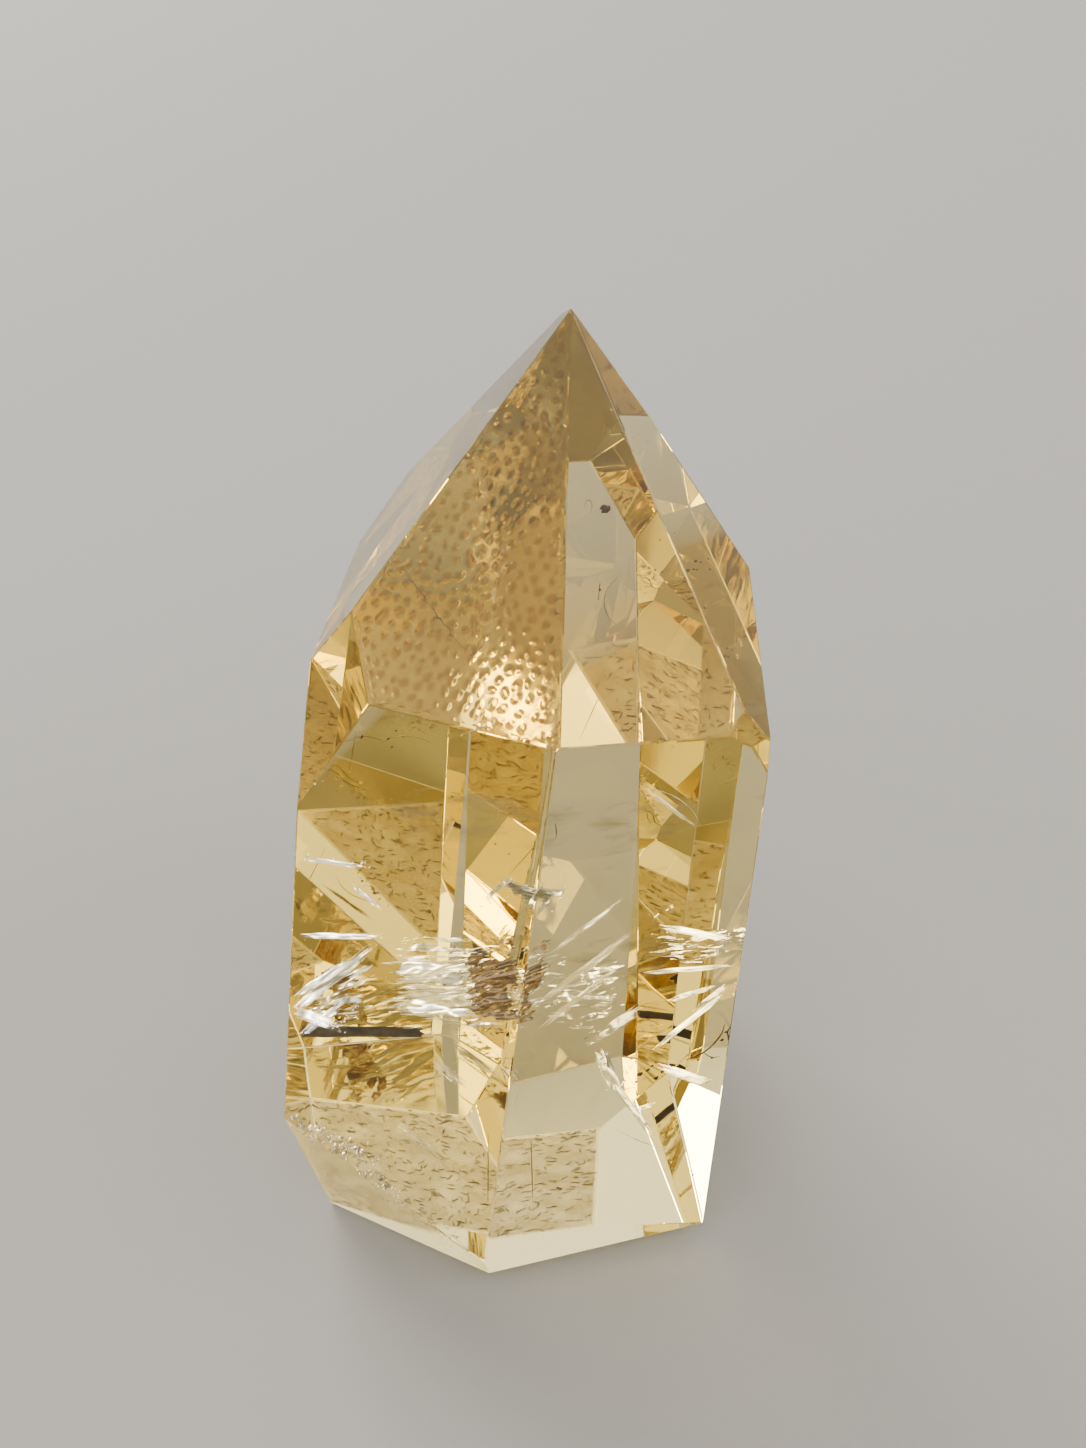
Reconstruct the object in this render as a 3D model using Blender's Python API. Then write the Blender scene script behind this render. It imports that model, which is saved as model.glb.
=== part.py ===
# A citrine crystal point: one six-sided crystal that tapers to slanting faces at its tip, ground
# flat underneath so that it stands. Units are metres, +Z is up.
import math

import bmesh
import bpy
from mathutils import Matrix, Vector

# Each face has a bearing, which is the way it looks seen from above (degrees round from +X), and a
# tilt (degrees up from level, negative where it looks down). Lengths are in millimetres. The flat
# that the crystal stands on is at height zero.

# The six tall faces, in order round the crystal: bearing, tilt, and how far each stands from the
# middle at its foot. The front edge is between the second and the third.
PRISM_FACES = [
    ("left", 175.5, 6.0, 21.1),
    ("front left", 244.5, 2.0, 25.8),
    ("front right", 286.0, -2.5, 25.6),
    ("right", 11.0, -2.5, 14.0),
    ("back right", 40.5, 2.5, 22.5),
    ("back left", 111.5, 6.0, 25.1),
]

# The slanting faces meet at the tip, which leans forward from the middle: bearing, tilt, and how far
# a face passes beyond the tip. Only the back left one stops short of it.
TIP = (5.3, -11.0, 90.0)
TIP_FACES = [
    ("left", 170.5, 35.0, 0.0),
    ("front left", 244.0, 29.0, 0.0),
    ("front right", 290.0, 29.0, 0.0),
    ("right", 329.0, 32.0, 0.0),
    ("back right", 30.0, 30.5, 0.0),
    ("back left", 104.0, 45.5, 1.0),
]

# The small faces at the shoulders, where two tall and two slanting faces meet: bearing, tilt, and
# distance from the middle of the flat.
SHOULDER_FACES = [
    ("front left corner", 220.0, 16.0, 37.7),
    ("front right corner", 302.5, 5.5, 36.0),
    ("front right corner, above", 299.5, 20.0, 48.5),
    ("right corner", 24.0, 29.0, 44.5),
    ("back corner", 66.0, 22.0, 41.5),
    ("back edge", 64.5, 3.5, 27.5),
    ("left corner", 147.0, 22.5, 39.0),
]

# Round the bottom, a chipped face low on the front left and shallow ground faces that lead in to the
# flat: bearing, tilt, and how far from the middle each meets the level of the flat.
BOTTOM_FACES = [
    ("chipped face", 239.0, -10.5, 24.1),
    ("under the left", 173.0, -16.5, 15.3),
    ("under the front", 273.0, -84.5, 15.7),
    ("under the front right", 293.0, -81.5, 17.0),
    ("under the right", 6.5, -82.5, 5.0),
    ("under the back", 92.0, -85.5, 10.8),
]

# The rough block that the faces are ground into.
BLOCK_RADIUS = 0.070
BLOCK_HEIGHT = 0.130

# Corners closer together than this are one corner.
CORNER_WELD = 0.00012


def looking(bearing, tilt):
    """The direction that a face with this bearing and tilt looks in."""
    bearing, tilt = math.radians(bearing), math.radians(tilt)
    level = math.cos(tilt)
    return Vector((level * math.cos(bearing), level * math.sin(bearing), math.sin(tilt)))


def grind(block, normal, distance):
    """Cuts away all of the block beyond one flat face, this far out, and closes the cut."""
    everything = list(block.verts) + list(block.edges) + list(block.faces)
    cut = bmesh.ops.bisect_plane(
        block,
        geom=everything,
        dist=1e-7,
        plane_co=normal * distance / 1000,
        plane_no=normal,
        clear_outer=True,
    )
    rim = [item for item in cut["geom_cut"] if isinstance(item, bmesh.types.BMEdge)]
    if rim:
        bmesh.ops.holes_fill(block, edges=rim, sides=0)


def grind_from_foot(block, faces):
    """Grinds faces whose place is given by how far out they stand at the level of the flat."""
    for _, bearing, tilt, reach in faces:
        grind(block, looking(bearing, tilt), reach * math.cos(math.radians(tilt)))


def grind_through_tip(block, faces):
    """Grinds the slanting faces through the tip, or just beyond it."""
    for _, bearing, tilt, beyond in faces:
        normal = looking(bearing, tilt)
        grind(block, normal, normal.dot(Vector(TIP)) + beyond)


def grind_corners(block, faces):
    """Grinds faces whose place is given by their distance from the middle of the flat."""
    for _, bearing, tilt, distance in faces:
        grind(block, looking(bearing, tilt), distance)


def citrine_material():
    material = bpy.data.materials.new("citrine")
    material.use_nodes = True
    shader = material.node_tree.nodes["Principled BSDF"]
    shader.inputs["Base Color"].default_value = (0.93, 0.74, 0.36, 1.0)
    shader.inputs["Metallic"].default_value = 0.0
    shader.inputs["Roughness"].default_value = 0.03
    shader.inputs["IOR"].default_value = 1.55
    shader.inputs["Transmission Weight"].default_value = 0.9
    return material


def crystal_point(collection):
    block = bmesh.new()
    bmesh.ops.create_cone(
        block,
        cap_ends=True,
        segments=6,
        radius1=BLOCK_RADIUS,
        radius2=BLOCK_RADIUS,
        depth=BLOCK_HEIGHT,
        matrix=Matrix.Translation((0, 0, BLOCK_HEIGHT / 2)),
    )
    grind_from_foot(block, PRISM_FACES)
    grind_through_tip(block, TIP_FACES)
    grind_corners(block, SHOULDER_FACES)
    grind_from_foot(block, BOTTOM_FACES)
    bmesh.ops.remove_doubles(block, verts=block.verts[:], dist=CORNER_WELD)
    bmesh.ops.dissolve_degenerate(block, edges=block.edges[:], dist=CORNER_WELD / 2)
    bmesh.ops.recalc_face_normals(block, faces=block.faces[:])
    # The middle of the crystal's outline goes over the origin, with the flat at height zero.
    low = [min(corner.co[axis] for corner in block.verts) for axis in range(3)]
    high = [max(corner.co[axis] for corner in block.verts) for axis in range(3)]
    middle = Vector(((low[0] + high[0]) / 2, (low[1] + high[1]) / 2, low[2]))
    bmesh.ops.translate(block, verts=block.verts[:], vec=-middle)
    mesh = bpy.data.meshes.new("crystal_point")
    block.to_mesh(mesh)
    block.free()
    mesh.materials.append(citrine_material())
    crystal = bpy.data.objects.new("crystal_point", mesh)
    collection.objects.link(crystal)
    return crystal


for leftover in list(bpy.data.objects):
    bpy.data.objects.remove(leftover, do_unlink=True)
citrine = bpy.data.collections.new("citrine_crystal_point")
bpy.context.scene.collection.children.link(citrine)
crystal_point(citrine)
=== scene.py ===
import math
import random

import bpy
import bmesh
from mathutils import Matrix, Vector, bvhtree, kdtree, noise


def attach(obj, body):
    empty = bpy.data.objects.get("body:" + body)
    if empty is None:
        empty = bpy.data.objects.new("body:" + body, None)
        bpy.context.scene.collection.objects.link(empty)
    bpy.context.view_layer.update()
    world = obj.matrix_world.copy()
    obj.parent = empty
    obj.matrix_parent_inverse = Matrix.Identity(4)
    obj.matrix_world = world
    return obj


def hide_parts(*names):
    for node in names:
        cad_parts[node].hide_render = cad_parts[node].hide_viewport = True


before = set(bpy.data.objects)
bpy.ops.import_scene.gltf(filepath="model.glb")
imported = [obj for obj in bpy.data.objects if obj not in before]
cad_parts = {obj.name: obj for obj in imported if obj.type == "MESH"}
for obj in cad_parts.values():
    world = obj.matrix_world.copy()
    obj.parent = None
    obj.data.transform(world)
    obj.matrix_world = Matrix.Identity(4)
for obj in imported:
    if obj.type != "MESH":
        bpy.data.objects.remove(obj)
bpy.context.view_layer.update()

mm = 0.001
print("frame loaded")


def deselectAll():
    if bpy.context.object and bpy.context.object.mode != "OBJECT":
        bpy.ops.object.mode_set(mode="OBJECT")
    bpy.ops.object.select_all(action="DESELECT")


def makeActive(thing):
    deselectAll()
    thing.select_set(True)
    bpy.context.view_layer.objects.active = thing


def direction(bearing, tilt):
    # bearing round from +X seen from above, tilt up from level, both in degrees
    b, t = math.radians(bearing), math.radians(tilt)
    return Vector((math.cos(t) * math.cos(b), math.cos(t) * math.sin(b), math.sin(t)))


# camera
view = {
    "place": (3.16, -153.19, 148.14),  # mm
    "down": 34.04,              # degrees below level
    "lens": 49.62,              # mm
    "sensor": 36.0,             # mm, along the frame's height
    "frame": (1086, 1448),      # spots across and down
}
bpy.ops.object.camera_add(location=[c * mm for c in view["place"]],
                          rotation=(math.radians(90 - view["down"]), 0, 0))
camera = bpy.context.object
camera.name = "camera"
camera.data.sensor_width = view["sensor"]
camera.data.lens = view["lens"]
camera.data.clip_start = 0.01
bpy.context.scene.camera = camera
print("camera placed")


# crystal
crystal = {  # mm where not noted
    "weld": 0.02,               # the solid's loose triangles are joined at this distance
    "flatten": 0.4,             # degrees between triangles that become one face
    "edgeRound": 0.13,          # the polish softens every edge a little
    "sameWay": 2.0,             # degrees, faces this close in direction count as one
    "dimpleFace": (244.0, 29.0),  # bearing and tilt of the face with the growth dimples
    "dimpleMargin": 0.25,
    "dimpleGrid": 0.13,
    "dimpleDepth": 0.036,
    "dimpleSpacing": 1.12,
    "dimpleRow": 0.92,          # distance of the rows, in spacings
    "dimpleStray": 0.14,        # how far one lies out of line, in spacings
    "dimpleOval": (0.40, 0.56),  # half width and half height
    "dimpleSizes": (0.7, 1.15),
    "dimpleTurn": (0.45, 0.35),  # radians, mean and spread
    "ridgeFrost": 0.09,         # roughness between the dimples
    "chipFace": (239.0, -10.5),
    "chipFrost": 0.20,
    "edgeWear": (0.10, 0.34),   # roughness along the edges, least and most
    "wearScale": 260,
}


def looks(face, way):
    return face.normal.dot(way) > math.cos(math.radians(crystal["sameWay"]))


def buildCrystal():
    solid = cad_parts["crystal_point"]
    body = bpy.data.objects.new("crystal_body", solid.data.copy())
    body.data.materials.clear()
    bpy.context.scene.collection.objects.link(body)
    makeActive(body)
    bpy.ops.mesh.customdata_custom_splitnormals_clear()
    bpy.ops.object.mode_set(mode="EDIT")
    bpy.ops.mesh.select_mode(type="VERT")
    bpy.ops.mesh.select_all(action="SELECT")
    bpy.ops.mesh.remove_doubles(threshold=crystal["weld"] * mm)
    bpy.ops.mesh.dissolve_limited(angle_limit=math.radians(crystal["flatten"]))
    bpy.ops.mesh.select_all(action="SELECT")
    bpy.ops.mesh.bevel(offset=crystal["edgeRound"] * mm, segments=2, affect="EDGES",
                       clamp_overlap=False)
    bpy.ops.object.mode_set(mode="OBJECT")
    return body


def cutIntoGrid(thing, axes, step):
    # slices the selected faces both ways, so that they can take a fine relief
    mesh = bmesh.new()
    mesh.from_mesh(thing.data)
    mark = mesh.faces.layers.int.new("grid")
    for face in mesh.faces:
        face[mark] = int(face.select)
    for axis in axes:
        spots = [v.co.dot(axis) for f in mesh.faces if f[mark] for v in f.verts]
        place = min(spots) + step / 2
        while place < max(spots):
            region = [f for f in mesh.faces if f[mark]]
            edges = {e for f in region for e in f.edges}
            verts = {v for f in region for v in f.verts}
            bmesh.ops.bisect_plane(mesh, geom=region + list(edges) + list(verts),
                                   plane_co=axis * place, plane_no=axis, dist=1e-7)
            place += step
    for face in mesh.faces:
        face.select_set(bool(face[mark]))
    mesh.to_mesh(thing.data)
    mesh.free()


def dimpleRows(left, right, low, high):
    # middle, size and turn of each dimple: they stand in loose rows, each one a little out of line
    random.seed(7)
    gap = crystal["dimpleSpacing"] * mm
    stray = gap * crystal["dimpleStray"]
    rows, row, v = [], 0, low
    while v < high:
        u = left + (gap / 2 if row % 2 else 0)
        while u < right:
            rows.append((u + random.gauss(0, stray), v + random.gauss(0, stray),
                         random.uniform(*crystal["dimpleSizes"]), random.gauss(*crystal["dimpleTurn"])))
            u += gap
        row, v = row + 1, v + gap * crystal["dimpleRow"]
    return rows


def bowlAt(u, v, near):
    # 1 in the middle of a dimple, 0 on the ridges
    wide, high = (half * mm for half in crystal["dimpleOval"])
    bowl = 0.0
    for middleU, middleV, big, turn in near:
        du, dv = u - middleU, v - middleV
        x = (du * math.cos(turn) + dv * math.sin(turn)) / (wide * big)
        y = (dv * math.cos(turn) - du * math.sin(turn)) / (high * big)
        bowl = max(bowl, 1 - x * x - y * y)
    return bowl


def dimpleTheFace(body):
    # sinks the dimples, notes how dull each place is, and returns the faces that stay softly shaded
    way = direction(*crystal["dimpleFace"])
    across = way.cross(Vector((0, 0, 1))).normalized()
    up = across.cross(way)
    makeActive(body)
    bpy.ops.object.mode_set(mode="EDIT")
    bpy.ops.mesh.select_mode(type="FACE")
    bpy.ops.mesh.select_all(action="DESELECT")
    bpy.ops.object.mode_set(mode="OBJECT")
    for face in body.data.polygons:
        face.select = looks(face, way)
    bpy.ops.object.mode_set(mode="EDIT")
    bpy.ops.mesh.inset(thickness=crystal["dimpleMargin"] * mm, depth=0)
    bpy.ops.object.mode_set(mode="OBJECT")
    cutIntoGrid(body, (across, up), crystal["dimpleGrid"] * mm)
    relief, rim = set(), set()
    for face in body.data.polygons:
        (relief if face.select else rim).update(face.vertices)
    # the dimple attribute carries painted shade, how much darker brown each place is painted
    paintedShade = body.data.attributes.new("dimple", "FLOAT", "POINT")
    frost = body.data.attributes.new("frost", "FLOAT", "POINT")
    us = [body.data.vertices[i].co.dot(across) for i in relief]
    vs = [body.data.vertices[i].co.dot(up) for i in relief]
    rows = dimpleRows(min(us), max(us), min(vs), max(vs))
    tree = kdtree.KDTree(len(rows))
    for i, (u, v, _, _) in enumerate(rows):
        tree.insert((u, v, 0), i)
    tree.balance()
    for index in relief - rim:
        co = body.data.vertices[index].co.copy()
        u, v = co.dot(across), co.dot(up)
        bowl = bowlAt(u, v, [rows[i] for _, i, _ in tree.find_n((u, v, 0), 3)])
        body.data.vertices[index].co = co - way * (crystal["dimpleDepth"] * mm * bowl)
        paintedShade.data[index].value = min(1.0, bowl * 1.5)
        frost.data[index].value = crystal["ridgeFrost"] * (1 - bowl)
    for face in body.data.polygons:
        if looks(face, direction(*crystal["chipFace"])):
            for index in face.vertices:
                frost.data[index].value = crystal["chipFrost"]
    body.data.update()
    return {face.index for face in body.data.polygons if face.select}


def shadeFacets(body, keepSoft):
    # every face is shaded smooth, and all edges but those between dimples are sharp
    mesh = bmesh.new()
    mesh.from_mesh(body.data)
    mesh.faces.ensure_lookup_table()
    for face in mesh.faces:
        face.smooth = True
    # the middle of each rounded edge is worn dull in places
    frost = mesh.verts.layers.float["frost"]
    least, most = crystal["edgeWear"]
    for vert in mesh.verts:
        narrow = [2 * f.calc_area() / sum(e.calc_length() for e in f.edges) < 0.1 * mm
                  and f.index not in keepSoft for f in vert.link_faces]
        if all(narrow):
            worn = max(0.0, noise.noise(vert.co * crystal["wearScale"]) + 0.25)
            vert[frost] = least + (most - least) * min(1.0, worn)
    for edge in mesh.edges:
        soft = all(f.index in keepSoft for f in edge.link_faces)
        edge.smooth = soft or edge.calc_face_angle(0) < math.radians(crystal["sameWay"])
    mesh.to_mesh(body.data)
    mesh.free()


citrine = {
    "refraction": 1.547,
    "flatHeight": 0.03,         # mm, what lies lower than this is the ground flat
    "flatRoughness": 0.45,
    "depthColour": (0.889, 0.763, 0.167),
    "depthDensity": 18.5,      # per metre
    # painted shade for the dimples, a darker brown
    "dimplePaintedShade": (0.56, 0.445, 0.31),
    "flatTint": (1.0, 0.90, 0.68),
    "clear": (1.0, 0.99, 0.97),
    "haze": 0.03,              # roughness where handling has dulled the polish
    "hazeScale": 55,
}


def citrineGlass():
    material = bpy.data.materials.new("citrine clear")
    material.use_nodes = True
    nodes, links = material.node_tree.nodes, material.node_tree.links
    shader = nodes["Principled BSDF"]
    shader.inputs["Transmission Weight"].default_value = 1.0
    shader.inputs["IOR"].default_value = citrine["refraction"]
    # the ground flat underneath is matte, the rest is polished
    place = nodes.new("ShaderNodeTexCoord")
    height = nodes.new("ShaderNodeSeparateXYZ")
    onFlat = nodes.new("ShaderNodeMath")
    onFlat.operation = "LESS_THAN"
    onFlat.inputs[1].default_value = citrine["flatHeight"] * mm
    matte = nodes.new("ShaderNodeMapRange")
    matte.inputs["To Min"].default_value = 0.0
    matte.inputs["To Max"].default_value = citrine["flatRoughness"]
    links.new(place.outputs["Object"], height.inputs[0])
    links.new(height.outputs["Z"], onFlat.inputs[0])
    links.new(onFlat.outputs[0], matte.inputs["Value"])
    # the ridges between the dimples, the chipped face and the worn edges are a little dull too
    frost = nodes.new("ShaderNodeAttribute")
    frost.attribute_name = "frost"
    patches = nodes.new("ShaderNodeTexNoise")
    patches.inputs["Scale"].default_value = citrine["hazeScale"]
    patches.inputs["Detail"].default_value = 5
    haze = nodes.new("ShaderNodeMapRange")
    haze.inputs["From Min"].default_value = 0.52
    haze.inputs["From Max"].default_value = 0.72
    haze.inputs["To Max"].default_value = citrine["haze"]
    links.new(place.outputs["Object"], patches.inputs["Vector"])
    links.new(patches.outputs["Fac"], haze.inputs["Value"])
    dulled = nodes.new("ShaderNodeMath")
    dulled.operation = "MAXIMUM"
    links.new(frost.outputs["Fac"], dulled.inputs[0])
    links.new(haze.outputs["Result"], dulled.inputs[1])
    rougher = nodes.new("ShaderNodeMath")
    rougher.operation = "MAXIMUM"
    links.new(matte.outputs["Result"], rougher.inputs[0])
    links.new(dulled.outputs[0], rougher.inputs[1])
    links.new(rougher.outputs[0], shader.inputs["Roughness"])
    # painted shade: the dimples are painted a darker brown, standing in for the dark they show by
    # bending the light like small lenses
    dimple = nodes.new("ShaderNodeAttribute")
    dimple.attribute_name = "dimple"
    colour = nodes.new("ShaderNodeMix")
    colour.data_type = "RGBA"
    colour.inputs["A"].default_value = (*citrine["clear"], 1)
    colour.inputs["B"].default_value = (*citrine["dimplePaintedShade"], 1)
    links.new(dimple.outputs["Fac"], colour.inputs["Factor"])
    stained = nodes.new("ShaderNodeMix")
    stained.data_type = "RGBA"
    stained.inputs["B"].default_value = (*citrine["flatTint"], 1)
    links.new(onFlat.outputs[0], stained.inputs["Factor"])
    links.new(colour.outputs["Result"], stained.inputs["A"])
    links.new(stained.outputs["Result"], shader.inputs["Base Color"])
    depth = nodes.new("ShaderNodeVolumeAbsorption")
    depth.inputs["Color"].default_value = (*citrine["depthColour"], 1)
    depth.inputs["Density"].default_value = citrine["depthDensity"]
    links.new(depth.outputs["Volume"], nodes["Material Output"].inputs["Volume"])
    return material


def finishPiece(piece, material):
    piece.data.materials.clear()
    piece.data.materials.append(material)
    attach(piece, "root")


def joinAs(name, things, material):
    deselectAll()
    for thing in things:
        thing.select_set(True)
    bpy.context.view_layer.objects.active = things[0]
    bpy.ops.object.join()
    whole = bpy.context.object
    whole.name = name
    bpy.ops.object.transform_apply(location=True, rotation=True, scale=True)
    finishPiece(whole, material)


def copyOf(pattern, place, turn):
    # one more of the same, with a mesh of its own
    copy = bpy.data.objects.new(pattern.name, pattern.data.copy())
    bpy.context.scene.collection.objects.link(copy)
    copy.location = place
    copy.rotation_euler = turn
    return copy


body = buildCrystal()
softFaces = dimpleTheFace(body)
shadeFacets(body, softFaces)
finishPiece(body, citrineGlass())
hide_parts("crystal_point")
print("crystal cut:", len(body.data.polygons), "faces")


# where things sit inside
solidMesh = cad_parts["crystal_point"].data
skin = bvhtree.BVHTree.FromPolygons([v.co for v in solidMesh.vertices],
                                    [p.vertices for p in solidMesh.polygons])


def sightLine(across, down):
    # the line of sight inside the crystal for a spot of the frame: where it enters and its way on
    wide, high = view["frame"]
    scale = view["lens"] / view["sensor"] * high
    ray = Vector(((across - wide / 2) / scale, (high / 2 - down) / scale, -1)).normalized()
    ray = camera.matrix_world.to_quaternion() @ ray
    spot, normal, _, _ = skin.ray_cast(camera.matrix_world.translation, ray)
    if spot is None:
        return None
    ratio, facing = 1 / citrine["refraction"], -ray.dot(normal)
    bent = ray * ratio + normal * (ratio * facing - math.sqrt(1 - ratio ** 2 * (1 - facing ** 2)))
    return spot, bent.normalized()


def inside(across, down, deep):
    # the point this many mm inside that shows at this spot of the frame
    spot, way = sightLine(across, down)
    return spot + way * deep * mm


def onPlane(across, down, point, normal):
    # where the line of sight meets a plane inside the crystal
    spot, way = sightLine(across, down)
    return spot + way * ((point - spot).dot(normal) / way.dot(normal))


def isInside(point, margin=0.3):
    near, normal, _, _ = skin.find_nearest(point)
    return (point - near).dot(normal) < -margin * mm


def settle(across, down, deep, size):
    # as deep as asked, or as near to it as keeps a thing of this size inside
    tries = 20
    for step in range(tries):
        place = inside(across, down, deep * (1 - step / tries))
        if isInside(place, size * 1.35):
            return place
    return None


# finishes inside the crystal
streaky = {
    "detail": 4,
    "grain": 0.62,
    "distortion": 0.3,
    "rim": 0.32,                # share of the sheet along which a crack dies out
    "rimLoss": 0.26,
    "dark": (0.40, 0.7),        # where the darker streaks end, and their share of the colour
    "light": 0.62,
}


def crackFinish(name, colour, roughness, streaks, cover, metallic):
    # a crack shows as fine parallel streaks that die out at a ragged rim
    material = bpy.data.materials.new(name)
    material.use_nodes = True
    nodes, links = material.node_tree.nodes, material.node_tree.links
    shader = nodes["Principled BSDF"]
    shader.inputs["Metallic"].default_value = metallic
    shader.inputs["Roughness"].default_value = roughness
    sheetPlace = nodes.new("ShaderNodeUVMap")
    sheetPlace.uv_map = "UVMap"
    stretch = nodes.new("ShaderNodeMapping")
    stretch.inputs["Scale"].default_value = (streaks[0], streaks[1], 1)
    grain = nodes.new("ShaderNodeTexNoise")
    grain.inputs["Scale"].default_value = 1.0
    grain.inputs["Detail"].default_value = streaky["detail"]
    grain.inputs["Roughness"].default_value = streaky["grain"]
    grain.inputs["Distortion"].default_value = streaky["distortion"]
    links.new(sheetPlace.outputs["UV"], stretch.inputs["Vector"])
    links.new(stretch.outputs["Vector"], grain.inputs["Vector"])
    split = nodes.new("ShaderNodeSeparateXYZ")
    links.new(sheetPlace.outputs["UV"], split.inputs[0])
    rim = None
    for axis in ("X", "Y"):
        middle = nodes.new("ShaderNodeMath")
        middle.operation = "PINGPONG"
        middle.inputs[1].default_value = 0.5
        links.new(split.outputs[axis], middle.inputs[0])
        fade = nodes.new("ShaderNodeMapRange")
        fade.inputs["From Min"].default_value = 0.0
        fade.inputs["From Max"].default_value = streaky["rim"]
        links.new(middle.outputs[0], fade.inputs["Value"])
        if rim is None:
            rim = fade.outputs["Result"]
        else:
            both = nodes.new("ShaderNodeMath")
            both.operation = "MULTIPLY"
            links.new(rim, both.inputs[0])
            links.new(fade.outputs["Result"], both.inputs[1])
            rim = both.outputs[0]
    thin = nodes.new("ShaderNodeMapRange")
    thin.inputs["To Min"].default_value = -streaky["rimLoss"]
    thin.inputs["To Max"].default_value = 0.0
    total = nodes.new("ShaderNodeMath")
    total.operation = "ADD"
    show = nodes.new("ShaderNodeValToRGB")
    show.color_ramp.elements[0].position = cover[0]
    show.color_ramp.elements[0].color = (0, 0, 0, 1)
    show.color_ramp.elements[1].position = cover[1]
    show.color_ramp.elements[1].color = (1, 1, 1, 1)
    links.new(rim, thin.inputs["Value"])
    links.new(thin.outputs["Result"], total.inputs[0])
    links.new(grain.outputs["Fac"], total.inputs[1])
    links.new(total.outputs[0], show.inputs["Fac"])
    links.new(show.outputs["Color"], shader.inputs["Alpha"])
    shade = nodes.new("ShaderNodeValToRGB")
    shade.color_ramp.elements[0].position = streaky["dark"][0]
    shade.color_ramp.elements[0].color = (*[c * streaky["dark"][1] for c in colour], 1)
    shade.color_ramp.elements[1].position = streaky["light"]
    shade.color_ramp.elements[1].color = (*colour, 1)
    links.new(grain.outputs["Fac"], shade.inputs["Fac"])
    links.new(shade.outputs["Color"], shader.inputs["Base Color"])
    return material


def plainFinish(name, colour, roughness, metallic=0.0):
    # one colour, darker in small patches
    material = bpy.data.materials.new(name)
    material.use_nodes = True
    nodes, links = material.node_tree.nodes, material.node_tree.links
    shader = nodes["Principled BSDF"]
    shader.inputs["Metallic"].default_value = metallic
    shader.inputs["Roughness"].default_value = roughness
    place = nodes.new("ShaderNodeTexCoord")
    patches = nodes.new("ShaderNodeTexNoise")
    patches.inputs["Scale"].default_value = 900
    shade = nodes.new("ShaderNodeValToRGB")
    shade.color_ramp.elements[0].position = 0.35
    shade.color_ramp.elements[0].color = (*[c * 0.45 for c in colour], 1)
    shade.color_ramp.elements[1].position = 0.65
    shade.color_ramp.elements[1].color = (*colour, 1)
    links.new(place.outputs["Object"], patches.inputs["Vector"])
    links.new(patches.outputs["Fac"], shade.inputs["Fac"])
    links.new(shade.outputs["Color"], shader.inputs["Base Color"])
    return material


silk = crackFinish("crack silk", (1.0, 1.0, 1.0), 0.22, (2.0, 24), (0.38, 0.46), 0.9)
spray = crackFinish("crack spray", (1.0, 1.0, 0.99), 0.20, (3, 20), (0.47, 0.54), 0.9)
# the smoky veils are partly real cloudy bands and partly painted shade, dark sheets that darken what is
# seen through the crystal
smokeAndPaintedShade = crackFinish("smoky veil and painted shade", (0.42, 0.36, 0.26), 0.5, (1.6, 5), (0.44, 0.95), 0.0)
shell = crackFinish("crack shell", (0.36, 0.27, 0.18), 0.13, (2.5, 9), (0.31, 0.35), 0.9)
darkBar = plainFinish("dark bar", (0.12, 0.09, 0.06), 0.5)
glint = plainFinish("glint", (1.0, 0.99, 0.97), 0.22, metallic=1.0)
rust = plainFinish("rust speck", (0.16, 0.055, 0.02), 0.6)
soot = plainFinish("scuff", (0.20, 0.13, 0.06), 0.7)
thread = plainFinish("thread", (0.24, 0.15, 0.07), 0.5)


# cracks and glints lean to mirror the back window, which reaches the left side another way
leans = {
    "left": (205, 41),          # bearing and tilt
    "middle": (198, 62),
    "leftEnds": -9.0,           # x in mm
    "bladeSpread": 4,           # degrees
    "flakeSpread": 9,
}


def leanAt(place, spread):
    bearing, tilt = leans["left"] if place.x < leans["leftEnds"] * mm else leans["middle"]
    return random.gauss(bearing, spread), random.gauss(tilt, spread)


def trimSheet(sheet, gone):
    # drops what would stick out of the crystal
    mesh = bmesh.new()
    mesh.from_mesh(sheet.data)
    mesh.verts.ensure_lookup_table()
    bmesh.ops.delete(mesh, geom=[mesh.verts[i] for i in gone], context="VERTS")
    bmesh.ops.delete(mesh, geom=[e for e in mesh.edges if not e.link_faces], context="EDGES")
    bmesh.ops.delete(mesh, geom=[v for v in mesh.verts if not v.link_faces], context="VERTS")
    for face in mesh.faces:
        face.smooth = True
    mesh.to_mesh(sheet.data)
    mesh.free()


sheets = {
    "thick": 0.02,              # mm
    "ragged": 0.09,             # how far the rim strays, as a share of the sheet
    "raggedCalm": 0.3,          # how much of that is left away from the rim
    "rimWide": 0.12,
    "fineRipple": 0.4,          # the small ripples against the large ones
}


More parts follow.
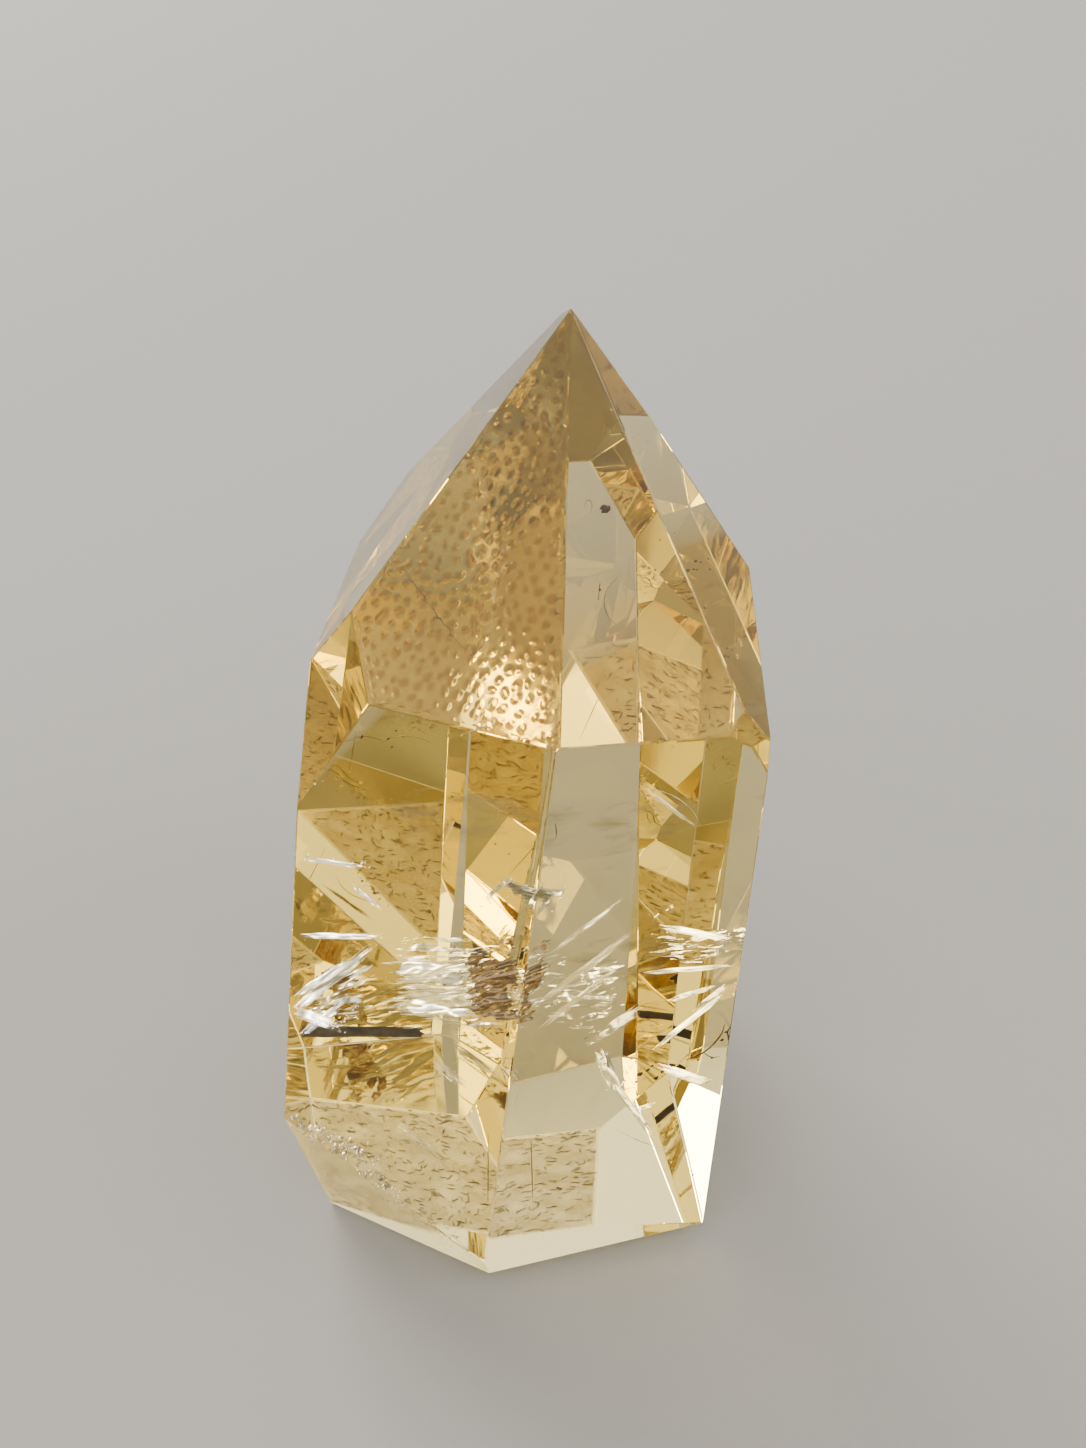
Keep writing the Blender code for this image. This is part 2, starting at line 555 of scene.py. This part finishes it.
def crackSheet(name, corners, plane, grid, ripple, material):
    # a rippled sheet near a plane, its outline given by four spots of the frame
    bpy.ops.mesh.primitive_grid_add(x_subdivisions=grid[0], y_subdivisions=grid[1], size=1)
    sheet = bpy.context.object
    sheet.name = name
    point, normal = Vector(plane[0]) * mm, direction(*plane[1])
    a, b, c, d = [Vector(corner) for corner in corners]
    gone = []
    for vertex in sheet.data.vertices:
        s, t = vertex.co.x + 0.5, vertex.co.y + 0.5
        edge = min(s, 1 - s, t, 1 - t)
        rough = noise.noise(Vector((s * 7, t * 7, len(name)))) * sheets["ragged"]
        rough *= 1 if edge < sheets["rimWide"] else sheets["raggedCalm"]
        spot = (a * (1 - s) + b * s) * (1 - t) + (d * (1 - s) + c * s) * t
        spot += (spot - (a + b + c + d) / 4) * rough
        if sightLine(*spot) is None:
            gone.append(vertex.index)
            continue
        place = onPlane(spot.x, spot.y, point, normal)
        height = noise.noise(Vector((s * ripple[0], t * ripple[1], 1.7)))
        fine = noise.noise(Vector((s * ripple[0] * 3, t * ripple[1] * 3, 5.1)))
        vertex.co = place + normal * (height + fine * sheets["fineRipple"]) * ripple[2] * mm
        if not isInside(vertex.co):
            gone.append(vertex.index)
    trimSheet(sheet, gone)
    makeActive(sheet)
    bpy.ops.object.modifier_add(type="SOLIDIFY")
    sheet.modifiers[-1].thickness = sheets["thick"] * mm
    bpy.ops.object.modifier_apply(modifier=sheet.modifiers[-1].name)
    finishPiece(sheet, material)
    return sheet


cracks = {
    "silkPlane": ((-4, -6, 29), (190, 55)),
    "silkCorners": ((378, 1042), (520, 1036), (524, 925), (372, 932)),
    "sprayPlane": ((5, -6, 31), (202, 67)),
    "sprayCorners": ((524, 1050), (640, 1035), (636, 935), (528, 945)),
    "shellPlane": ((-7, -19.5, 31), (236, 40)),
    "shellCorners": ((466, 1036), (520, 1034), (520, 932), (464, 952)),
    "leftPlane": ((-13, -8, 25), (205, 42)),
    "leftCorners": ((290, 1040), (378, 1036), (388, 930), (290, 985)),
    "rightPlane": ((14, -8, 34), (205, 69)),
    "rightCorners": ((640, 972), (744, 966), (742, 915), (644, 925)),
    # the veils, partly cloudy bands and partly painted shade
    "veilPlanes": (((4, -4, 48), (286, 20)), ((-9, -6, 50), (245, 22)), ((3, 0, 24), (280, 30))),
    "veilCorners": (((560, 900), (704, 880), (716, 762), (562, 772)),
                    ((330, 905), (536, 890), (540, 765), (372, 730)),
                    ((530, 1035), (700, 1025), (704, 900), (545, 905))),
    "barPlane": ((-12, -14, 20), (250, 60)),
    "barCorners": ((302, 1037), (422, 1037), (422, 1027), (302, 1026)),
}

blades = [  # start and end in spots of the frame, width in spots, depth in mm
    ((600, 1062), (666, 1152), 9, 7), ((620, 1092), (657, 1142), 6, 7.5),
    ((628, 1112), (660, 1102), 5, 7), ((598, 1048), (618, 1096), 17, 7),
    ((655, 1064), (722, 1088), 12, 5), ((288, 1014), (382, 940), 14, 5),
    ((292, 998), (352, 958), 8, 4.5), ((298, 1036), (348, 1000), 10, 5),
    ((290, 1008), (345, 1030), 16, 4), ((297, 935), (392, 937), 8, 6),
    ((350, 883), (384, 912), 6, 6), ((527, 1012), (642, 926), 9, 8),
    ((535, 1032), (626, 962), 8, 8), ((545, 958), (631, 893), 6, 8),
    ((598, 1036), (646, 1004), 13, 8), ((583, 1046), (642, 1014), 8, 8),
    ((655, 925), (744, 942), 9, 7), ((640, 973), (742, 965), 6, 7),
    ((650, 1052), (736, 984), 7, 6), ((664, 1002), (722, 984), 6, 6),
    ((690, 1014), (740, 974), 6, 5), ((484, 902), (508, 878), 7, 8),
    ((504, 889), (564, 893), 8, 8), ((528, 908), (547, 879), 7, 8),
    ((390, 1116), (446, 1161), 6, 8), ((640, 784), (702, 832), 5, 8),
    ((430, 1056), (470, 1092), 12, 9), ((448, 1040), (508, 1084), 10, 8),
    ((300, 858), (372, 868), 6, 5),
]


def crackBlades():
    # narrow cracks, each one leaning to the light
    made = []
    for i, (start, end, wide, deep) in enumerate(blades):
        a, b = Vector(start), Vector(end)
        side = (b - a).orthogonal().normalized() * wide / 2
        middle = inside(*((a + b) / 2), deep)
        plane = (tuple(middle / mm), leanAt(middle, leans["bladeSpread"]))
        corners = (a - side, b - side, b + side, a + side)
        made.append(crackSheet("blade%d" % i, corners, plane, (30, 6), (3, 1.5, 0.12), silk))
    joinAs("crack_blades", made, silk)


random.seed(23)
crackBlades()
crackSheet("crack_silk", cracks["silkCorners"], cracks["silkPlane"], (90, 60), (3, 14, 0.5), silk)
crackSheet("crack_spray", cracks["sprayCorners"], cracks["sprayPlane"], (80, 60), (4, 10, 0.6), spray)
crackSheet("crack_shell", cracks["shellCorners"], cracks["shellPlane"], (60, 90), (1.6, 10, 0.42), shell)
crackSheet("crack_left", cracks["leftCorners"], cracks["leftPlane"], (60, 50), (4, 12, 0.5), spray)
crackSheet("crack_right", cracks["rightCorners"], cracks["rightPlane"], (60, 40), (4, 10, 0.4), spray)
# veils: cloudy bands that also carry painted shade, darkening the views through the crystal
for i, (plane, corners) in enumerate(zip(cracks["veilPlanes"], cracks["veilCorners"])):
    crackSheet("veil_%d" % i, corners, plane, (40, 40), (2, 3, 0.8), smokeAndPaintedShade)
crackSheet("crack_bar", cracks["barCorners"], cracks["barPlane"], (60, 6), (2, 1, 0.1), darkBar)
print("cracks laid")


# glints, threads and specks
random.seed(41)


bpy.ops.mesh.primitive_ico_sphere_add(subdivisions=1, radius=1)
wholeFlake = bpy.context.object


def flake(place, size, flat=0.12):
    # a small chip of crack, thin and unevenly edged, leaning to the light
    lean = direction(*leanAt(place, leans["flakeSpread"]))
    chip = copyOf(wholeFlake, place, lean.to_track_quat("Z", "X").to_euler())
    chip.scale = Vector((1.0, random.uniform(0.3, 0.8), flat)) * size * mm
    for vertex in chip.data.vertices:
        vertex.co *= random.uniform(0.7, 1.15)
    return chip


glintRows = [  # start, end, how many, how deep in mm, size in mm, spread in frame spots
    ((302, 858), (372, 866), 16, 6, 0.30, 5),
    ((290, 1012), (345, 1026), 22, 5, 0.42, 9),
    ((484, 905), (562, 888), 16, 9, 0.34, 12),
    ((660, 930), (742, 940), 18, 7, 0.32, 7),
    ((598, 1050), (622, 1088), 14, 8, 0.40, 6),
    ((590, 1035), (640, 1010), 12, 9, 0.34, 8),
    ((292, 1122), (358, 1157), 140, 0.7, 0.38, 11),
    ((356, 1156), (402, 1202), 100, 0.7, 0.36, 11),
    ((400, 1200), (478, 1254), 90, 0.6, 0.26, 8),
    ((655, 918), (672, 905), 6, 8, 0.25, 3),
    ((402, 714), (430, 722), 5, 0.35, 0.16, 3),
    ((508, 744), (556, 755), 6, 0.35, 0.16, 3),
    ((302, 790), (330, 770), 6, 0.4, 0.18, 4),
    ((320, 1060), (700, 1070), 45, 6, 0.11, 110),
    ((320, 930), (720, 930), 35, 6, 0.11, 70),
    ((430, 1060), (445, 1075), 7, 9, 0.30, 6),
    ((462, 940), (470, 1010), 30, 8, 0.30, 10),
]


def scatterGlints():
    chips = []
    for start, end, count, deep, size, spread in glintRows:
        for _ in range(count):
            t = random.random()
            across = start[0] + (end[0] - start[0]) * t + random.gauss(0, spread / 2)
            down = start[1] + (end[1] - start[1]) * t + random.gauss(0, spread / 2)
            if sightLine(across, down) is None:
                continue
            place = inside(across, down, deep * random.uniform(0.7, 1.3))
            if isInside(place, size * 0.6):
                chips.append(flake(place, size * random.uniform(0.35, 1.0)))
    joinAs("glints", chips, glint)


scatterGlints()

darkThreads = {  # spots of the frame that each one passes, depth and half thickness in mm
    "needle": ([(600, 583), (598, 600)], 9, 0.10),
    "twig": ([(686, 1060), (704, 1052), (717, 1040), (725, 1024)], 5, 0.09),
    "twigBranch": ([(703, 1052), (711, 1057), (720, 1056)], 5, 0.06),
    "edgeCrack": ([(418, 1220), (440, 1231), (458, 1245), (478, 1254)], 0.4, 0.05),
    "uprightLine": ([(531, 1138), (532, 1170), (533, 1202)], 12, 0.05),
    "tick": ([(544, 822), (545, 830), (544, 838)], 3, 0.05),
    "fineThread": ([(398, 560), (420, 592), (450, 632), (470, 658)], 5, 0.045),
    "curl": ([(470, 658), (476, 646), (483, 640), (480, 650), (472, 652), (474, 642)], 5, 0.04),
    "curvedThread": ([(620, 575), (606, 592), (606, 612), (616, 625)], 7, 0.03),
    "smallBend": ([(590, 512), (592, 505), (588, 500), (584, 508)], 6, 0.03),
}

brightThreads = {
    "goldStreak": ([(652, 788), (675, 797), (693, 812), (701, 826)], 8, 0.05),
    "arcLow": ([(383, 1138), (410, 1143), (432, 1154), (446, 1168)], 9, 0.05),
    "drop": ([(606, 1052), (611, 1070), (616, 1088)], 8, 0.30),
    "tail": ([(612, 1085), (632, 1112), (652, 1140)], 8, 0.09),
    "tailBranch": ([(618, 1130), (640, 1141), (668, 1150)], 8, 0.05),
}


def drawThread(name, spots, deep, half):
    # a tapering strand along the spots
    bpy.ops.curve.primitive_bezier_curve_add()
    strand = bpy.context.object
    strand.name = name
    spline = strand.data.splines[0]
    spline.bezier_points.add(len(spots) - 2)
    strand.data.dimensions = "3D"
    strand.data.bevel_depth = half * mm
    strand.data.bevel_resolution = 1
    strand.data.resolution_u = 6
    strand.data.use_fill_caps = True
    for i, (knot, spot) in enumerate(zip(spline.bezier_points, spots)):
        knot.co = settle(spot[0], spot[1], deep + 0.15 * i, half + 0.12)
        knot.handle_left_type = knot.handle_right_type = "AUTO"
        knot.radius = 0.35 if i in (0, len(spots) - 1) else 1.0
    makeActive(strand)
    bpy.ops.object.convert(target="MESH")
    bpy.ops.object.mode_set(mode="EDIT")
    bpy.ops.mesh.select_all(action="SELECT")
    bpy.ops.mesh.remove_doubles(threshold=0.000001)
    bpy.ops.object.mode_set(mode="OBJECT")
    return bpy.context.object


joinAs("threads_dark", [drawThread(name, *row) for name, row in darkThreads.items()], thread)
joinAs("threads_bright", [drawThread(name, *row) for name, row in brightThreads.items()], glint)

specks = [  # spot of the frame, depth and size in mm
    ((606, 509), 7, 0.55), ((603, 507), 7, 0.35), ((362, 737), 2, 0.22), ((388, 739), 3, 0.16),
    ((392, 747), 3, 0.14), ((640, 1074), 8, 0.35), ((648, 1070), 8, 0.28), ((656, 1078), 8, 0.30),
    ((662, 1072), 8, 0.22), ((652, 1066), 8, 0.2), ((636, 1082), 8, 0.2), ((672, 1066), 7, 0.18),
    ((698, 1060), 6, 0.16), ((712, 1058), 5, 0.16), ((722, 1040), 4, 0.25), ((726, 1032), 4, 0.2),
    ((430, 912), 7, 0.22), ((655, 570), 6, 0.12), ((662, 572), 6, 0.12), ((600, 590), 9, 0.15),
    ((686, 617), 7, 0.16), ((693, 1175), 4, 0.16), ((660, 540), 6, 0.1),
]


def scatterSpecks():
    grains = []
    for (across, down), deep, size in specks:
        place = settle(across, down, deep, size)
        if place is not None:
            grains.append(flake(place, size, 0.7))
    joinAs("specks", grains, rust)


scatterSpecks()
bpy.data.objects.remove(wholeFlake)
print("glints, threads and specks set")


# scuffs in the ground flat
scuffs = {  # mm where not noted
    "count": 330,
    "long": (0.35, 1.10),
    "wide": (0.08, 0.13),
    "thick": 0.03,
    "lift": 0.06,
    "turn": (0.20, 0.75),       # radians, mean and spread
    "rim": 0.1,                 # kept free at each end
}


def onGround(vertex):
    return vertex.co.z < 0.02 * mm


def scuffTheFlat():
    bpy.ops.mesh.primitive_cube_add(size=2)
    block = bpy.context.object
    marks = []
    flatEdge = [v.co for v in solidMesh.vertices if onGround(v)]
    low = [min(c[i] for c in flatEdge) for i in range(2)]
    high = [max(c[i] for c in flatEdge) for i in range(2)]
    while len(marks) < scuffs["count"]:
        spot = Vector((random.uniform(low[0], high[0]), random.uniform(low[1], high[1]), 0))
        spot.z = scuffs["lift"] * mm
        half = random.uniform(*scuffs["long"]) / 2 * mm
        turn = random.gauss(*scuffs["turn"])
        along = Vector((math.cos(turn), math.sin(turn), 0)) * (half + scuffs["rim"] * mm)
        if not all(isInside(spot + along * side, 0.045) for side in (-1, 0, 1)):
            continue
        mark = copyOf(block, spot, (0, 0, turn))
        mark.scale = (half, random.uniform(*scuffs["wide"]) / 2 * mm, scuffs["thick"] / 2 * mm)
        for vertex in mark.data.vertices:
            vertex.co.y *= 1 - 0.5 * abs(vertex.co.x) * random.random()
        marks.append(mark)
    bpy.data.objects.remove(block)
    joinAs("scuffs", marks, soot)


ground = {
    "colour": (1.0, 0.84, 0.50),
    "dark": 0.86,               # the darker patches, as a share of the colour
    "cover": 0.17,
    "patchy": 0.14,             # how far the cover varies either way
    "margin": 0.4,              # mm, as are those below
    "lift": 0.03,
    "thick": 0.012,
    "cornerGap": 0.5,
}


def groundFinish():
    # honey coloured grind, a little patchy
    material = bpy.data.materials.new("ground flat")
    material.use_nodes = True
    nodes, links = material.node_tree.nodes, material.node_tree.links
    shader = nodes["Principled BSDF"]
    shader.inputs["Roughness"].default_value = 0.6
    place = nodes.new("ShaderNodeTexCoord")
    patches = nodes.new("ShaderNodeTexNoise")
    patches.inputs["Scale"].default_value = 260
    patches.inputs["Detail"].default_value = 6
    thickness = nodes.new("ShaderNodeMapRange")
    thickness.inputs["From Min"].default_value = 0.3
    thickness.inputs["From Max"].default_value = 0.7
    thickness.inputs["To Min"].default_value = ground["cover"] - ground["patchy"]
    thickness.inputs["To Max"].default_value = ground["cover"] + ground["patchy"]
    shade = nodes.new("ShaderNodeValToRGB")
    shade.color_ramp.elements[0].position = 0.35
    shade.color_ramp.elements[0].color = (*[c * ground["dark"] for c in ground["colour"]], 1)
    shade.color_ramp.elements[1].position = 0.65
    shade.color_ramp.elements[1].color = (*ground["colour"], 1)
    links.new(place.outputs["Object"], patches.inputs["Vector"])
    links.new(patches.outputs["Fac"], thickness.inputs["Value"])
    links.new(patches.outputs["Fac"], shade.inputs["Fac"])
    links.new(thickness.outputs["Result"], shader.inputs["Alpha"])
    links.new(shade.outputs["Color"], shader.inputs["Base Color"])
    return material


def groundLeaf():
    # a thin leaf just above the flat, in its outline
    corners, gap = [], ground["cornerGap"] * mm
    for vertex in solidMesh.vertices:
        if onGround(vertex) and all((vertex.co - c).length > gap for c in corners):
            corners.append(vertex.co.copy())
    middle = sum(corners, Vector()) / len(corners)
    corners.sort(key=lambda c: math.atan2(c.y - middle.y, c.x - middle.x))
    bpy.ops.mesh.primitive_circle_add(vertices=len(corners), fill_type="NGON")
    leaf = bpy.context.object
    leaf.name = "ground_flat"
    around = sorted(leaf.data.vertices, key=lambda v: math.atan2(v.co.y, v.co.x))
    for vertex, corner in zip(around, corners):
        inward = (middle - corner).normalized() * ground["margin"] * mm
        vertex.co = corner + inward + Vector((0, 0, ground["lift"] * mm))
    makeActive(leaf)
    bpy.ops.object.modifier_add(type="SOLIDIFY")
    leaf.modifiers[-1].thickness = ground["thick"] * mm
    bpy.ops.object.modifier_apply(modifier=leaf.modifiers[-1].name)
    finishPiece(leaf, groundFinish())


scuffTheFlat()
groundLeaf()
print("ground flat scuffed")


# floor and light
studio = {
    "floor": (0.345, 0.341, 0.333),
    "floorSize": 12.0,
    "floorDrop": 0.05,          # mm
    "aim": (0, 0, 0.04),        # where the lamps point
    "domeStrength": 1.58,
    "domeFoot": (0.60, 0.59, 0.57),
    "domeTop": (0.10, 0.10, 0.10),
    "domeBands": ((0.20, 0.95), (0.70, 0.95), (0.84, 0.28)),  # height and brightness
    "domeTone": (1.0, 0.975, 0.93),
}

lamps = {  # place, size, watts and colour
    "backWindow": ((-0.62, 0.92, 0.80), (0.62, 0.55), 13, (1.0, 0.94, 0.84)),
    "rightSoft": ((0.95, -0.22, 0.62), (0.60, 0.40), 1.8, (1.0, 0.97, 0.92)),
    "frontHigh": ((-0.22, -0.60, 1.02), (0.50, 0.45), 1.8, (1.0, 0.98, 0.95)),
}

bpy.ops.mesh.primitive_plane_add(size=studio["floorSize"], location=(0, 0, -studio["floorDrop"] * mm))
floor = bpy.context.object
floor.name = "floor"
paper = bpy.data.materials.new("pale floor")
paper.use_nodes = True
paperShader = paper.node_tree.nodes["Principled BSDF"]
paperShader.inputs["Base Color"].default_value = (*studio["floor"], 1)
paperShader.inputs["Roughness"].default_value = 0.8
floor.data.materials.append(paper)


def softBox(name, place, size, watts, colour):
    bpy.ops.object.light_add(type="AREA", location=place)
    lamp = bpy.context.object
    lamp.name = name
    lamp.data.shape = "RECTANGLE"
    lamp.data.size, lamp.data.size_y = size
    lamp.data.energy = watts
    lamp.data.color = colour
    lamp.rotation_euler = (Vector(studio["aim"]) - Vector(place)).to_track_quat("-Z", "Y").to_euler()


for name, row in lamps.items():
    softBox(name, *row)

world = bpy.data.worlds.new("studio")
world.use_nodes = True
nodes, links = world.node_tree.nodes, world.node_tree.links
skyWay = nodes.new("ShaderNodeTexCoord")
skyHeight = nodes.new("ShaderNodeSeparateXYZ")
skyRamp = nodes.new("ShaderNodeValToRGB")
ramp = skyRamp.color_ramp
ramp.elements[0].position = 0.0
ramp.elements[0].color = (*studio["domeFoot"], 1)
ramp.elements[1].position = 1.0
ramp.elements[1].color = (*studio["domeTop"], 1)
for height, light in studio["domeBands"]:
    ramp.elements.new(height).color = (*[light * tone for tone in studio["domeTone"]], 1)
links.new(skyWay.outputs["Generated"], skyHeight.inputs[0])
links.new(skyHeight.outputs["Z"], skyRamp.inputs[0])
links.new(skyRamp.outputs["Color"], nodes["Background"].inputs["Color"])
nodes["Background"].inputs["Strength"].default_value = studio["domeStrength"]
bpy.context.scene.world = world
bpy.context.scene.view_settings.look = "AgX - Medium High Contrast"

cycles = bpy.context.scene.cycles
cycles.max_bounces = 28
cycles.transmission_bounces = 28
cycles.glossy_bounces = 16
cycles.transparent_max_bounces = 24
print("studio lit")
